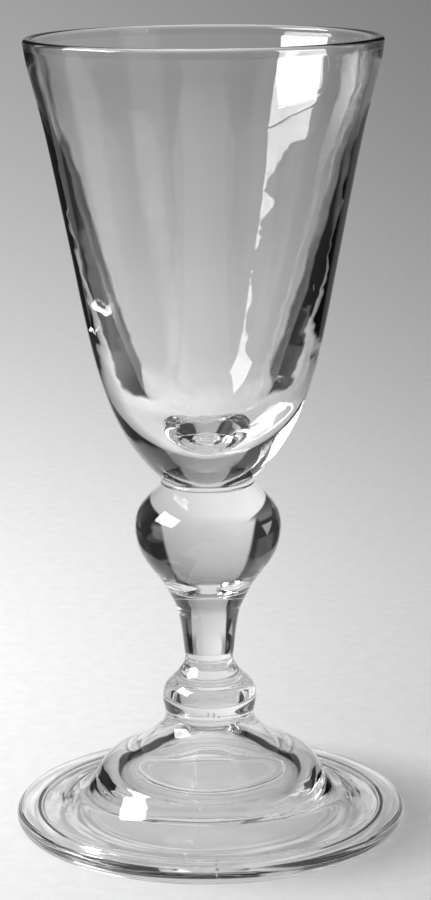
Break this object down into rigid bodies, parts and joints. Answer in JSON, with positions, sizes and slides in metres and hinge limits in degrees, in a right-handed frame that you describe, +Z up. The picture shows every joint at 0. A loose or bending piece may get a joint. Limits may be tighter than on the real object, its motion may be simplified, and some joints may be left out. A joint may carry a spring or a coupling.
{
  "type": "baluster goblet",
  "caption": "Hand-blown clear lead glass goblet with a round funnel bowl, ball knop stem and domed folded foot, for water or wine.",
  "frame": {"origin": "centre of the foot's resting ring, on the plane that the goblet stands on", "axes": "+Z up along the goblet's axis; X and Y are alike, because every piece but the pontil scar is turned about Z"},
  "size_m": [0.1, 0.1, 0.2],
  "materials": {
    "clear_glass": "fire-polished clear lead glass",
    "broken_glass": "rough broken glass"
  },
  "bodies": {
    "root": {"bowl": "clear_glass", "merese": "clear_glass", "ball_knop": "clear_glass", "tapered_shank": "clear_glass", "basal_knop": "clear_glass", "foot": "clear_glass", "pontil_scar": "broken_glass"}
  },
  "joints": []
}
